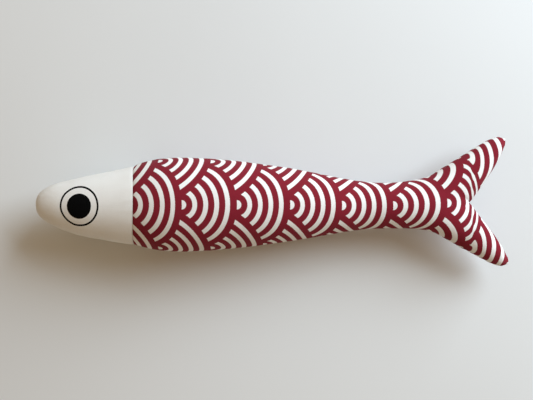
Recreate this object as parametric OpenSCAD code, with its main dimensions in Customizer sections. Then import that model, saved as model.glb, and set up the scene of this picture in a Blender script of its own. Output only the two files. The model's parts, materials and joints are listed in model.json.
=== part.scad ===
// Stuffed fabric fish lying on its right side.
// A point of the fish is [distance behind the nose, towards the back, towards the left side].
// lay_down() sets the fish on the table, with the origin under the middle of its box.

/* [Fish] */
// Length from the nose to the tips of the tail
fish_length = 350; // [300:5:420]
// Largest radius of the body
body_radius = 34.2; // [30:0.2:40]
// Distance of the neck seam behind the nose
neck_at = 72.5; // [68:0.5:77]
// Radius of the head at the neck seam
neck_radius = 28.9; // [26:0.1:30]
// Radius of the wrist, where the body is thinnest
wrist_radius = 16.5; // [15:0.1:18]
// Half of the width across the tail
tail_reach = 48.5; // [42:0.5:54]

/* [Sewing] */
// Thickness of the cotton fabric
fabric = 0.8; // [0.5:0.1:1]
// Width of the seam allowance that is turned inside on the head and body
allowance = 5; // [3:0.5:6]
// Width to which the allowance is trimmed on the tail
tail_allowance = 2.4; // [1.6:0.1:2.6]
// Thickness of the sewing thread
thread = 0.5; // [0.3:0.1:0.6]
// Where the hand-sewn closing begins on the belly
closing_at = 150; // [120:5:170]
// Number of stitches in the closing
closing_stitches = 15; // [8:1:18]

/* [Eye] */
// Distance of the eye behind the nose
eye_at = 36; // [30:0.5:42]
// Outer radius of the eye's ring
eye_ring_radius = 14.3; // [12:0.1:15]
// Width of the ring's line
eye_ring_line = 1.3; // [0.6:0.1:1.5]
// Radius of the pupil
eye_pupil_radius = 8.9; // [7:0.1:10]

/* [Resting and bending] */
// How far the fish tips towards its tail as it lies
tip_angle = 1.5; // [1:0.5:2.5]
// Depth to which the body is pressed flat where it rests
flat_depth = 2.4; // [1.6:0.2:3]
// Largest bend of the tail to either side
bend_limit = 12; // [6:1:20]

/* [Hidden] */
$fn = 72;

WHITE = [0.93, 0.92, 0.88];
PRINT_RED = [0.50, 0.10, 0.15];
INK = [0.02, 0.02, 0.02];
FIBRE = [0.97, 0.97, 0.96];
THREAD_WHITE = [0.88, 0.87, 0.84];

LEFT = 1;
RIGHT = -1;
BACK = 1;
BELLY = -1;

stretch = fish_length / 350; // the stations below are for a fish 350 long
nose_length = 20 * stretch;
nose_radius = 18;
wrist_at = 254 * stretch;
fork_at = 321.5 * stretch;
tail_root_at = 284 * stretch;

seam_gap = 0.1; // between two panels at their seam
play = 0.3; // between the filling and the fabric round it
joint_gap = 0.15; // each side of the wrist's bending line
thread_gap = 0.05; // between a thread and the cloth that it lies on
film = 0.15; // thickness of the printed eye
film_gap = 0.02;
relief = (bend_limit + 1) / 2; // slope of the wrist's open sides
big = 600; // larger than the fish

// Radius of the head behind its round nose, and of the body behind the neck seam.
head_line = [
    [nose_length, nose_radius],
    [34 * stretch, 21.8],
    [52 * stretch, 25.3],
    [neck_at, neck_radius],
];
body_line = [
    [neck_at, neck_radius],
    [neck_at + 9 * stretch, body_radius - 2.9],
    [93 * stretch, body_radius - 0.8],
    [108 * stretch, body_radius],
    [130 * stretch, body_radius - 0.9],
    [155 * stretch, body_radius - 3.3],
    [185 * stretch, 0.41 * wrist_radius + 0.59 * body_radius],
    [215 * stretch, 0.71 * wrist_radius + 0.29 * body_radius],
    [238 * stretch, 0.93 * wrist_radius + 0.07 * body_radius],
    [wrist_at, wrist_radius],
    [wrist_at + 14 * stretch, wrist_radius + 0.4],
];
// Outer edge of a tail lobe, its half thickness, and its inner edge, which crosses the
// middle line at the fork.
tail_line = [
    [wrist_at - 10 * stretch, wrist_radius + 0.7],
    [wrist_at, wrist_radius],
    [wrist_at + 14 * stretch, wrist_radius + 0.4],
    [tail_root_at, wrist_radius + 2.1],
    [294 * stretch, tail_reach - 27.2],
    [307 * stretch, tail_reach - 19.3],
    [322 * stretch, tail_reach - 10.4],
    [336 * stretch, tail_reach - 2.6],
    [344 * stretch, tail_reach],
    [fish_length, tail_reach - 1.5],
];
tail_depth_line = [
    [wrist_at - 10 * stretch, wrist_radius + 0.7],
    [wrist_at, wrist_radius],
    [275 * stretch, wrist_radius - 0.6],
    [295 * stretch, wrist_radius - 2],
    [312 * stretch, wrist_radius - 3.9],
    [325 * stretch, wrist_radius - 5.6],
    [336 * stretch, wrist_radius - 7.6],
    [344 * stretch, wrist_radius - 10.2],
    [348 * stretch, wrist_radius - 12.4],
    [fish_length, wrist_radius - 14],
];
notch_line = [
    [wrist_at - 10 * stretch, -wrist_radius - 0.7],
    [wrist_at, -wrist_radius],
    [tail_root_at, -15.4],
    [302 * stretch, -12.4],
    [312 * stretch, -7.2],
    [fork_at, 0],
    [fork_at + 4.5 * stretch, 6],
    [fork_at + 9.5 * stretch, 13],
    [fork_at + 17.5 * stretch, 23.8],
    [fork_at + 24.5 * stretch, 35],
    [fish_length, tail_reach - 6],
];

// ---- smooth curves through [distance, value] points ----

function chord(points, i, j) =
    (points[j][1] - points[i][1]) / (points[j][0] - points[i][0]);

function tangent(points, i) =
    chord(points, max(i - 1, 0), min(i + 1, len(points) - 1));

function span_of(points, at, i = 0) =
    i >= len(points) - 2 || at <= points[i + 1][0] ? i : span_of(points, at, i + 1);

function curve(points, at) =
    let (i = span_of(points, at))
    let (width = points[i + 1][0] - points[i][0])
    let (t = (at - points[i][0]) / width)
    let (start = points[i][1], end = points[i + 1][1])
    let (leave = tangent(points, i) * width, arrive = tangent(points, i + 1) * width)
    start * (2 * pow(t, 3) - 3 * pow(t, 2) + 1)
        + leave * (pow(t, 3) - 2 * pow(t, 2) + t)
        + end * (3 * pow(t, 2) - 2 * pow(t, 3))
        + arrive * (pow(t, 3) - pow(t, 2));

function curve_slope(points, at, step = 0.05) =
    (curve(points, at + step) - curve(points, at - step)) / (2 * step);

// ---- the round head and body ----

function line_at(at) = at <= neck_at ? head_line : body_line;

// A station of the wall, as [distance, radius, slope]. The nose is a cubic: its
// distance grows as the cube of its radius.
nose_steps = 7;
head_steps = 7;
body_steps = 20;
wall_end = wrist_at + 8;
wall = concat(
    [for (i = [1:nose_steps]) let (t = i / nose_steps)
        [nose_length * pow(t, 3), nose_radius * t,
            nose_radius / nose_length / (3 * pow(t, 2))]],
    [for (i = [1:head_steps]) let (at = nose_length + (neck_at - nose_length) * i / head_steps)
        [at, curve(head_line, at), curve_slope(head_line, at - 0.1)]],
    [for (i = [1:body_steps]) let (at = neck_at + (wall_end - neck_at) * i / body_steps)
        [at, curve(body_line, at), curve_slope(body_line, at)]]
);

// A station moved square to the wall, inwards by depth, as [distance, radius].
function sunk(station, depth) =
    let (steep = sqrt(1 + pow(station[2], 2)))
    [station[0] + depth * station[2] / steep, station[1] - depth / steep];

function body_radius_at(at) =
    at < nose_length ? nose_radius * pow(at / nose_length, 1 / 3) : curve(line_at(at), at);

// Everything inside the wall of the head and body, drawn in by depth.
module round_body(depth) {
    profile = [for (station = wall) sunk(station, depth)];
    end = profile[len(profile) - 1];
    rotate([0, 90, 0])
        rotate_extrude()
            polygon(concat(
                [[0, depth]],
                [for (p = profile) [p[1], p[0]]],
                [[0, end[0]]]
            ));
}

// ---- the forked tail ----
// Each lobe is a row of ellipses from the wrist to the tip. The two lobes are one round
// tube at the wrist, and part at the fork.

lobe_rows = 18;
slice = 0.2; // thickness of an ellipse that a stretch of the lobe is hulled from
tail_start = wrist_at - 8 * stretch;

function tail_row(i, depth) =
    tail_start + (fish_length - 1.6 * depth - tail_start) * (1 - pow(1 - i / lobe_rows, 1.25));

function steepness(points, at) = sqrt(1 + pow(curve_slope(points, at), 2));
function outer_edge(at, depth) = curve(tail_line, at) - depth * steepness(tail_line, at);
function inner_edge(at, depth) = curve(notch_line, at) + depth * steepness(notch_line, at);

module lobe_slice(side, at, depth) {
    outer = outer_edge(at, depth);
    inner = inner_edge(at, depth);
    translate([at - slice, side * (outer + inner) / 2, 0])
        rotate([90, 0, 90])
            linear_extrude(slice)
                scale([(outer - inner) / 2, curve(tail_depth_line, at) - depth])
                    circle(r = 1, $fn = 28);
}

// Everything inside the wall of the tail, drawn in by depth.
module forked_tail(depth) {
    for (side = [BACK, BELLY], i = [0:lobe_rows - 1])
        hull() {
            lobe_slice(side, tail_row(i, depth), depth);
            lobe_slice(side, tail_row(i + 1, depth), depth);
        }
}

// The tail's outline in the plane of its seam.
module tail_outline() {
    rows = [for (i = [0:lobe_rows]) tail_row(i, 0)];
    for (side = [BACK, BELLY])
        polygon(concat(
            [for (at = rows) [at, side * outer_edge(at, 0)]],
            [for (i = [lobe_rows:-1:0]) [rows[i], side * inner_edge(rows[i], 0)]]
        ));
}

// A flat strip inside the tail's outline, from one depth to the next.
module tail_strip(outer_depth, inner_depth, height) {
    linear_extrude(height, center = true)
        difference() {
            offset(delta = -outer_depth) tail_outline();
            offset(delta = -inner_depth) tail_outline();
        }
}

// ---- regions that pieces are cut with ----

// Everything on one side of the seam, from a distance off it.
module side_of_seam(side, distance) {
    translate([0, 0, side * (distance + big / 2)])
        cube([2 * big, 2 * big, big], center = true);
}

// The layer round the seam's plane.
module seam_layer(height) {
    cube([2 * big, 2 * big, height], center = true);
}

// Everything in front of the neck seam, or behind it with way = 1.
module past_neck(way, distance) {
    translate([neck_at + way * (distance + big / 2), 0, 0])
        cube([big, big, big], center = true);
}

// Everything on one side of the wrist's bending line. The sides slope away from each other,
// so that the tail has room to bend.
module past_wrist(way, distance) {
    edge = wrist_at + way * distance;
    open = big * tan(relief);
    rotate([90, 0, 0])
        linear_extrude(big, center = true)
            polygon([
                [edge + way * big, -big], [edge + way * open, -big], [edge, 0],
                [edge + way * open, big], [edge + way * big, big],
            ]);
}

// Everything on the back, or on the belly with way = -1.
module towards(way) {
    translate([0, way * big / 2, 0])
        cube([2 * big, big, big], center = true);
}

// ---- lying on the table ----

rest_at = 116 * stretch; // distance behind the nose of the lowest point
axis_height = body_radius_at(rest_at) * cos(tip_angle) - flat_depth;
tail_end_x = (fish_length - rest_at) * cos(tip_angle);
nose_x = -rest_at * cos(tip_angle);

module lay_down() {
    translate([-(tail_end_x + nose_x) / 2, 0, axis_height])
        rotate([0, tip_angle, 0])
            translate([-rest_at, 0, 0])
                children();
}

// Everything higher than the given height over the table.
module above_table(height) {
    translate([0, 0, height + big / 2])
        cube([2 * big, 2 * big, big], center = true);
}

// The head and body as they lie, drawn in by depth and pressed flat underneath.
module lying_body(depth) {
    intersection() {
        lay_down() round_body(depth);
        above_table(depth);
    }
}

// ---- pieces ----

edge_thread_in = thread + 2 * thread_gap; // room that the thread takes round an allowance's edge

// A panel of the head or body with its allowances, before it is cut at the neck and wrist.
module round_panel(side) {
    intersection() {
        difference() {
            lying_body(0);
            lying_body(fabric);
        }
        lay_down() side_of_seam(side, seam_gap / 2);
    }
    lay_down()
        intersection() {
            difference() {
                round_body(fabric / 2);
                round_body(allowance);
            }
            side_of_seam(side, seam_gap / 2);
            seam_layer(2 * fabric + seam_gap);
        }
}

// The allowance along the neck seam: half a ring on one side of it.
module neck_allowance(side, way) {
    intersection() {
        translate([neck_at + way * (seam_gap + fabric) / 2, 0, 0])
            rotate([0, 90, 0])
                difference() {
                    cylinder(r = neck_radius - fabric / 2, h = fabric, center = true);
                    cylinder(r = neck_radius - allowance, h = 2 * fabric, center = true);
                }
        side_of_seam(side, seam_gap / 2);
    }
}

module head_panel(side) {
    color(WHITE) {
        intersection() {
            round_panel(side);
            lay_down() past_neck(-1, seam_gap / 2);
        }
        lay_down() neck_allowance(side, -1);
    }
}

module body_panel(side) {
    color(PRINT_RED) {
        intersection() {
            round_panel(side);
            lay_down() past_neck(1, seam_gap / 2);
            lay_down() past_wrist(-1, joint_gap);
        }
        lay_down() neck_allowance(side, 1);
    }
}

module tail_panel(side) {
    color(PRINT_RED)
        lay_down()
            intersection() {
                union() {
                    difference() {
                        forked_tail(0);
                        forked_tail(fabric);
                    }
                    tail_strip(fabric / 2, tail_allowance, 2 * fabric + seam_gap);
                }
                side_of_seam(side, seam_gap / 2);
                past_wrist(1, joint_gap);
            }
}

// Polyester fibre, with room left for the allowances and the thread on their edges.
module body_filling() {
    room = allowance + edge_thread_in + play;
    layer = 2 * (fabric + play) + seam_gap;
    color(FIBRE)
        intersection() {
            difference() {
                lying_body(fabric + play);
                lay_down() {
                    difference() {
                        seam_layer(layer);
                        round_body(room);
                    }
                    translate([neck_at, 0, 0])
                        rotate([0, 90, 0])
                            difference() {
                                cylinder(r = neck_radius + 1, h = layer, center = true);
                                cylinder(r = neck_radius - room, h = 2 * layer, center = true);
                            }
                }
            }
            lay_down() past_wrist(-1, joint_gap);
        }
}

module tail_filling() {
    color(FIBRE)
        lay_down()
            intersection() {
                difference() {
                    forked_tail(fabric + play);
                    tail_strip(0, tail_allowance + edge_thread_in + play, 2 * (fabric + play) + seam_gap);
                }
                past_wrist(1, joint_gap);
            }
}

// Printed ink: a film that lies on the head panel inside an upright tube.
module eye_print(side, outer_radius, inner_radius) {
    color(INK)
        lay_down()
            intersection() {
                difference() {
                    round_body(-film_gap - film);
                    round_body(-film_gap);
                }
                translate([eye_at, 0, side * big / 4])
                    difference() {
                        cylinder(r = outer_radius, h = big / 2, center = true);
                        if (inner_radius > 0) cylinder(r = inner_radius, h = big, center = true);
                    }
            }
}

// Thread over the raw edges of the neck's two allowances.
module neck_seam_thread(side) {
    edge = neck_radius - allowance - thread_gap;
    color(THREAD_WHITE)
        lay_down()
            intersection() {
                translate([neck_at, 0, 0])
                    rotate([0, 90, 0])
                        difference() {
                            cylinder(r = edge, h = 2 * fabric + seam_gap, center = true);
                            cylinder(r = edge - thread, h = 3 * fabric, center = true);
                        }
                side_of_seam(side, fabric + 2 * seam_gap);
            }
}

// Thread over the raw edges of the long seam's allowances, on the back or on the belly.
module long_seam_thread(way) {
    edge = allowance + thread_gap;
    closing_length = closing_stitches * stitch_pitch;
    color(THREAD_WHITE)
        lay_down()
            intersection() {
                difference() {
                    round_body(edge);
                    round_body(edge + thread);
                    if (way == BELLY)
                        translate([closing_at, -big / 2, -big / 2])
                            cube([closing_length, big, big]);
                }
                seam_layer(2 * fabric + seam_gap);
                translate([0, way * seam_gap / 2, 0]) towards(way);
                past_wrist(-1, joint_gap);
            }
}

module tail_seam_thread() {
    edge = tail_allowance + thread_gap;
    color(THREAD_WHITE)
        lay_down()
            intersection() {
                tail_strip(edge, edge + thread, 2 * fabric + seam_gap);
                past_wrist(1, joint_gap);
            }
}

// The hand-sewn closing: short stitches across the belly seam.
stitch_pitch = 4;
stitch_length = 2.6;

module closing_stitch() {
    color(THREAD_WHITE)
        lay_down()
            for (i = [0:closing_stitches - 1]) {
                at = closing_at + (i + 0.5) * stitch_pitch;
                translate([at, -body_radius_at(at) - thread / 2 - thread_gap, 0])
                    cylinder(d = thread, h = stitch_length, center = true, $fn = 32);
            }
}

head_panel(LEFT);  // head_panel_left
head_panel(RIGHT);  // head_panel_right
body_panel(LEFT);  // body_panel_left
body_panel(RIGHT);  // body_panel_right
tail_panel(LEFT);  // tail_panel_left
tail_panel(RIGHT);  // tail_panel_right
body_filling();
tail_filling();
eye_print(LEFT, eye_ring_radius, eye_ring_radius - eye_ring_line);  // eye_ring_left
eye_print(LEFT, eye_pupil_radius, 0);  // eye_pupil_left
eye_print(RIGHT, eye_ring_radius, eye_ring_radius - eye_ring_line);  // eye_ring_right
eye_print(RIGHT, eye_pupil_radius, 0);  // eye_pupil_right
neck_seam_thread(LEFT);  // neck_seam_thread_left
neck_seam_thread(RIGHT);  // neck_seam_thread_right
long_seam_thread(BACK);  // back_seam_thread
long_seam_thread(BELLY);  // belly_seam_thread
closing_stitch();
tail_seam_thread();
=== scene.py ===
"""A stuffed fabric fish: cotton panels, filling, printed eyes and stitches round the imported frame."""
import json
import logging
import math
from dataclasses import dataclass, field
from enum import Enum
from typing import Any, Iterable, Sequence

import bpy
import numpy as np
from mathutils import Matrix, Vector, noise


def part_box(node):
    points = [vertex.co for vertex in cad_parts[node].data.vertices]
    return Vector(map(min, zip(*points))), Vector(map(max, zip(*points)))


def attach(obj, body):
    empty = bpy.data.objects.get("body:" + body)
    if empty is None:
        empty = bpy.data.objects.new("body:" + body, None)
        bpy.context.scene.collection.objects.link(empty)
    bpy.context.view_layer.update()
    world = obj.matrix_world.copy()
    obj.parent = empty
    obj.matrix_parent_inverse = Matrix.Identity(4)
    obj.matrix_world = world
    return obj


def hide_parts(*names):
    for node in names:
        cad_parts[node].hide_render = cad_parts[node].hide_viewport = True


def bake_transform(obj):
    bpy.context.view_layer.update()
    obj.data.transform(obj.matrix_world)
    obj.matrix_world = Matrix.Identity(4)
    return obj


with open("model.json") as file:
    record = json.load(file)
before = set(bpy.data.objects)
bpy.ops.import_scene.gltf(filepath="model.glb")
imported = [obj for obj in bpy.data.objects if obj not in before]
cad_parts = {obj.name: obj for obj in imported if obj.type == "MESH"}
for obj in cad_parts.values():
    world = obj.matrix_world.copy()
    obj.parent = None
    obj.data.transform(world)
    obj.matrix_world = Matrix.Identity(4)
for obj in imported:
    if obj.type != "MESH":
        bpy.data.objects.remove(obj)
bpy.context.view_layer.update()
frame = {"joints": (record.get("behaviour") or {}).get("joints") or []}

log = logging.getLogger("fish")
MM = 0.001
BODY = "body"


class Side(Enum):
    """The half of the fish, seen from its flank."""

    BACK = 1
    BELLY = -1


class Face(Enum):
    """The flank that a panel covers."""

    LEFT = 1
    RIGHT = -1


QUARTERS = [(side, face) for side in Side for face in Face]


def ease(values: np.ndarray) -> np.ndarray:
    """Returns a smooth step from 0 to 1 as values go from 0 to 1."""
    t = np.clip(values, 0, 1)
    return t * t * (3 - 2 * t)


@dataclass(frozen=True)
class Line:
    """A smooth curve through a few points, each (distance behind the nose, value), in millimetres."""

    points: tuple[tuple[float, float], ...]

    def at(self, along: np.ndarray) -> np.ndarray:
        """Reads the curve.

        Args:
            along: distances behind the nose.

        Returns:
            The curve's values there.
        """
        xs = np.array([p[0] for p in self.points])
        ys = np.array([p[1] for p in self.points])
        before = np.maximum(np.arange(len(xs)) - 1, 0)
        after = np.minimum(np.arange(len(xs)) + 1, len(xs) - 1)
        slopes = (ys[after] - ys[before]) / (xs[after] - xs[before])
        i = np.clip(np.searchsorted(xs, along) - 1, 0, len(xs) - 2)
        width = xs[i + 1] - xs[i]
        t = np.clip((along - xs[i]) / width, 0, 1)
        t2, t3 = t * t, t * t * t
        rise = ys[i] * (2 * t3 - 3 * t2 + 1) + ys[i + 1] * (3 * t2 - 2 * t3)
        return rise + width * (slopes[i] * (t3 - 2 * t2 + t) + slopes[i + 1] * (t3 - t2))


@dataclass(frozen=True)
class Lay:
    """How the fish lies: its axis falls a little towards the tail, through the wrist's hinge."""

    hinge: Vector
    tip_angle: float = math.radians(1.5)

    def direction(self, along: float, across: float, out: float) -> Vector:
        """Turns a direction of the fish into one of the row frame.

        Args:
            along: its part from the nose to the tail.
            across: its part towards the back.
            out: its part out of the left side.

        Returns:
            The direction in the row frame.
        """
        c, s = math.cos(self.tip_angle), math.sin(self.tip_angle)
        return Vector((along * c + out * s, across, out * c - along * s))

    def place(self, fish_points: np.ndarray, wrist_at: float) -> np.ndarray:
        """Lays points of the fish down.

        Args:
            fish_points: distance behind the nose, towards the back, out of the left side, in millimetres.
            wrist_at: the hinge's distance behind the nose.

        Returns:
            The points in the row frame, in metres.
        """
        c, s = math.cos(self.tip_angle), math.sin(self.tip_angle)
        along, across, out = (fish_points[..., k] * MM for k in range(3))
        along = along - wrist_at * MM
        x = self.hinge.x + along * c + out * s
        y = self.hinge.y + across
        z = self.hinge.z + out * c - along * s
        return np.stack([x, y, z], axis=-1)


@dataclass(frozen=True)
class FishForm:
    """The fish's outer shape and the cut of its cloth, in millimetres."""

    length: float = 350
    nose_length: float = 20
    nose_radius: float = 18
    neck_at: float = 72.5
    neck_bow: float = 2.6
    bow_reach: float = 22
    wrist_at: float = 254
    fork_at: float = 321.5
    tip_round: float = 6
    tail_turn: float = math.radians(1.5)
    turn_begins: float = 238
    turn_length: float = 56
    valley: float = 5
    girth: float = 0.96
    cut_widens_at: float = 265
    cut_parts_at: float = 312
    fullness_skew: float = 1.6
    gather_skew: float = 0.63
    head: Line = Line(((20, 18), (34, 21.8), (52, 25.3), (72.5, 28.9)))
    body: Line = Line((
        (72.5, 28.9), (81.5, 31.3), (93, 33.4), (108, 34.2), (130, 33.3), (155, 30.9),
        (185, 26.9), (215, 21.6), (238, 17.7), (254, 16.5), (268, 16.9),
    ))
    sideways: Line = Line((
        (0, 0), (12, -0.2), (22, -0.9), (34, -1.3), (52, -1.2), (66, -0.8), (78, 0), (190, 0),
        (225, -0.5), (262, -0.7), (290, -0.2), (310, 0), (350, 0),
    ))
    outer: Line = Line((
        (244, 17.2), (254, 16.5), (268, 16.9), (284, 18.6), (294, 21.3), (307, 29.2),
        (322, 38.1), (336, 45.9), (344, 48.5), (350, 47),
    ))
    inner: Line = Line((
        (244, -17.2), (254, -16.5), (284, -15.4), (302, -12.4), (312, -7.2), (321.5, 0),
        (326, 6), (331, 13), (339, 23.8), (346, 35), (350, 42.5),
    ))
    back_lobe_more: Line = Line(((310, 0), (321.5, 0), (329, 1.1), (339, 1.3), (346, 0.5), (350, 0)))
    depth: Line = Line((
        (244, 17.2), (254, 16.5), (275, 15.9), (295, 14.5), (312, 12.6), (325, 10.9),
        (336, 8.9), (344, 7.2), (350, 6),
    ))
    cut_shift: Line = Line((
        (60, 0.9), (78, 0.6), (90, 0.3), (100, 0.3), (110, 0.85), (149, 0.8), (187, 1.5),
        (226, 2.3), (264, 2.75), (284, 2.2), (302, 0.7), (322, 0.5), (350, 0.3),
    ))
    cut_fullness_along: Line = Line(((285, 0), (318, 0.4), (326, 1.6), (334, 3), (342, 3.3), (350, 3)))
    cut_gather: Line = Line((
        (280, 0), (290, 0), (302, 1), (312, 1.9), (320, 1.9), (328, 0.6), (336, 0), (350, 0),
    ))
    cut_outer_shift: Line = Line(((265, 0), (285, 2.6), (300, 7.2), (315, 9.6), (335, 10.2), (350, 10.2)))
    cut_outer: Line = Line((
        (254, 24.9), (268, 25.7), (284, 28.2), (300, 33.5), (313, 38.3), (330, 46), (344, 51),
        (350, 52.5),
    ))
    cut_inner_along: Line = Line((
        (312, 312), (321.5, 322), (326, 331), (332, 342), (340, 352), (350, 362),
    ))
    cut_inner: Line = Line(((312, 0), (321.5, 0), (326, 9), (332, 18.5), (340, 31), (350, 43)))

    def radius(self, along: np.ndarray) -> np.ndarray:
        """Returns the radius of the round head and body. The nose is a cubic."""
        nose = self.nose_radius * np.cbrt(np.clip(along, 0, self.nose_length) / self.nose_length)
        behind = np.where(along <= self.neck_at, self.head.at(along), self.body.at(along))
        return np.where(along < self.nose_length, nose, behind)

    def section(self, along: np.ndarray, share: np.ndarray, side: Side, face: Face) -> np.ndarray:
        """Points of one quarter of the skin.

        Args:
            along: distances behind the nose.
            share: 0 at the outer seam, 1 at the middle line or the notch.
            side: back or belly.
            face: left or right flank.

        Returns:
            An array of points with the last axis along, across, out.
        """
        along = self._bowed(along, share)
        forward = along <= self.wrist_at
        outer = np.where(forward, self.radius(along), self.outer.at(along))
        inner = np.where(forward, -outer, self.inner.at(along))
        if side is Side.BACK:
            inner = inner - self.back_lobe_more.at(along)
        inner = np.where(along == self.fork_at, 0, inner)
        depth = np.where(forward, outer, self.depth.at(along))
        depth = depth * np.sqrt(np.clip((self.length - along) / self.tip_round, 0, 1))
        middle, half = (outer + inner) / 2, np.maximum((outer - inner) / 2, 1e-9)
        last_turn = np.where(along >= self.fork_at, np.pi, np.arccos(np.clip(-middle / half, -1, 1)))
        turn = share * last_turn
        across = middle + half * np.cos(turn)
        out = depth * np.sin(turn)
        beside = (across + middle) / half
        beyond = depth * np.sqrt(np.clip(1 - beside * beside, 0, 1))
        near = np.clip(1 - (out - beyond) / self.valley, 0, 1) * (np.abs(beside) < 1) * (along < self.fork_at)
        out = face.value * (out + self.valley / 4 * near * near)
        across = side.value * across
        on_middle = (share == 1) & (along <= self.fork_at)
        on_seam = (share == 0) | ((share == 1) & (along >= self.fork_at))
        across = np.where(on_middle | (along == 0), 0, across)
        out = np.where(on_seam | (along == 0) | (along == self.length), 0, out)
        turned = self.tail_turn * ease((along - self.turn_begins) / self.turn_length)
        from_wrist = along - self.wrist_at
        c, s = np.cos(turned), np.sin(turned)
        sideways = across * c + from_wrist * s + self.sideways.at(along)
        return np.stack([self.wrist_at + from_wrist * c - across * s, sideways, out], axis=-1)

    def _bowed(self, along: np.ndarray, share: np.ndarray) -> np.ndarray:
        """Moves stations near the neck seam, which bows towards the tail on the flank."""
        near = np.clip(1 - np.abs(along - self.neck_at) / self.bow_reach, 0, 1) ** 2
        return along + self.neck_bow * near * np.sin(share * np.pi / 2) ** 2

    def cloth(self, along: np.ndarray, share: np.ndarray, side: Side) -> np.ndarray:
        """Finds where the points of a quarter lie on the flat printed cloth.

        Args:
            along: distances behind the nose.
            share: 0 at the outer seam, 1 at the middle line or the notch.
            side: back or belly.

        Returns:
            An array with the last axis along the cloth and across it, in millimetres.
        """
        along = self._bowed(along, share)
        round_across = self.radius(along) * self.girth * np.pi / 2
        outer_across = np.where(along <= self.wrist_at, round_across, self.cut_outer.at(along))
        widens, parts = along >= self.cut_widens_at, along >= self.cut_parts_at
        outer_along = along + np.where(widens, self.cut_outer_shift.at(along), 0)
        inner_along = np.where(parts, self.cut_inner_along.at(along), along)
        inner_across = np.where(parts, self.cut_inner.at(along), 0)
        level = share * (2 - share)
        u = outer_along + (inner_along - outer_along) * level + self.cut_shift.at(along)
        u = u - np.sin(np.pi * share ** self.fullness_skew) * self.cut_fullness_along.at(along)
        v = outer_across + (inner_across - outer_across) * share
        v = v + np.sin(np.pi * share ** self.gather_skew) ** 2 * self.cut_gather.at(along)
        return np.stack([u, side.value * v], axis=-1)


@dataclass(frozen=True)
class Grid:
    """Stations along the fish and shares round each quarter, at which the skin is sampled."""

    stations: np.ndarray
    shares: np.ndarray

    @staticmethod
    def graded(form: FishForm, step: float, nose_steps: int, columns: int, crowding: float) -> "Grid":
        """Makes a grid that is closest at the nose, the neck seam and the long seams.

        Args:
            form: the fish's shape.
            step: the usual distance between stations.
            nose_steps: stations in the round nose.
            columns: columns in each quarter.
            crowding: 0 for even columns, towards 1 for columns crowded at the seams.

        Returns:
            The grid.
        """
        nose = form.nose_length * np.linspace(0, 1, nose_steps + 1) ** 3
        parts = [nose]
        near, near_reach, before_tip = np.array([0.3, 0.7, 1.2, 1.9, 2.8]), 3.3, np.array([0.8, 0.2])
        for start, end in ((form.nose_length, form.neck_at), (form.neck_at, form.fork_at),
                           (form.fork_at, form.length)):
            count = max(2, round((end - start) / step))
            stations = np.linspace(start, end, count + 1)[1:]
            if crowding:
                stations = stations[np.abs(stations - form.neck_at) > near_reach]
            parts.append(stations)
        if crowding:
            parts.append(form.neck_at + np.concatenate([-near, [0], near]))
            parts.append(form.length - before_tip)
        even = np.linspace(0, 1, columns + 1)
        shares = even - crowding * np.sin(2 * np.pi * even) / (2 * np.pi)
        shares[0], shares[-1] = 0, 1
        return Grid(np.unique(np.concatenate(parts)), shares)

    def mesh(self) -> tuple[np.ndarray, np.ndarray]:
        """Returns the grid's stations and shares as two full arrays."""
        return np.meshgrid(self.stations, self.shares, indexing="ij")


Quarters = dict[tuple[Side, Face], np.ndarray]


def quads_of(rows: int, columns: int, first: int, flip: bool) -> np.ndarray:
    """Makes the faces of a grid of points.

    Args:
        rows: points along the grid.
        columns: points across it.
        first: the index of its first point.
        flip: whether its faces are turned over.

    Returns:
        Four indices for each face.
    """
    index = first + np.arange(rows * columns).reshape(rows, columns)
    a, b, c, d = index[:-1, :-1], index[1:, :-1], index[1:, 1:], index[:-1, 1:]
    loop = (a, d, c, b) if flip else (a, b, c, d)
    return np.stack(loop, axis=-1).reshape(-1, 4)


def faces_outwards(side: Side, face: Face) -> bool:
    """Says whether a quarter's grid has to be flipped for its faces to point outwards."""
    return side.value * face.value > 0


def weld(points: np.ndarray, quads: np.ndarray) -> tuple[np.ndarray, list[list[int]], np.ndarray]:
    """Joins points that lie in one place and drops faces that have shrunk to nothing.

    Args:
        points: places in metres.
        quads: four indices for each face.

    Returns:
        The welded points, the faces, and for each old point its new index.
    """
    same_place = 0.002 * MM
    keys = np.round(points / same_place).astype(np.int64)
    _, first, index = np.unique(keys, axis=0, return_index=True, return_inverse=True)
    index = index.ravel()
    faces = []
    for quad in index[quads]:
        loop = [int(v) for k, v in enumerate(quad) if v != quad[k - 1]]
        if len(set(loop)) >= 3:
            faces.append(loop)
    return points[first], faces, index


def mesh_object(name: str, points: np.ndarray, faces: Sequence[Sequence[int]]) -> bpy.types.Object:
    """Makes a smooth mesh object in the scene.

    Args:
        name: its name.
        points: places in metres.
        faces: the indices of each face.

    Returns:
        The object, at the origin.
    """
    mesh = bpy.data.meshes.new(name)
    mesh.from_pydata([tuple(p) for p in points.tolist()], [], [list(f) for f in faces])
    mesh.validate()
    mesh.shade_smooth()
    obj = bpy.data.objects.new(name, mesh)
    bpy.context.scene.collection.objects.link(obj)
    return obj


def bake_modifiers(obj: bpy.types.Object) -> None:
    """Turns an object's modifiers into its mesh.

    Args:
        obj: the object, which keeps its name and has no modifiers afterwards.
    """
    graph = bpy.context.evaluated_depsgraph_get()
    graph.update()
    mesh = bpy.data.meshes.new_from_object(obj.evaluated_get(graph))
    mesh.name = obj.name
    obj.modifiers.clear()
    obj.data = mesh


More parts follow.
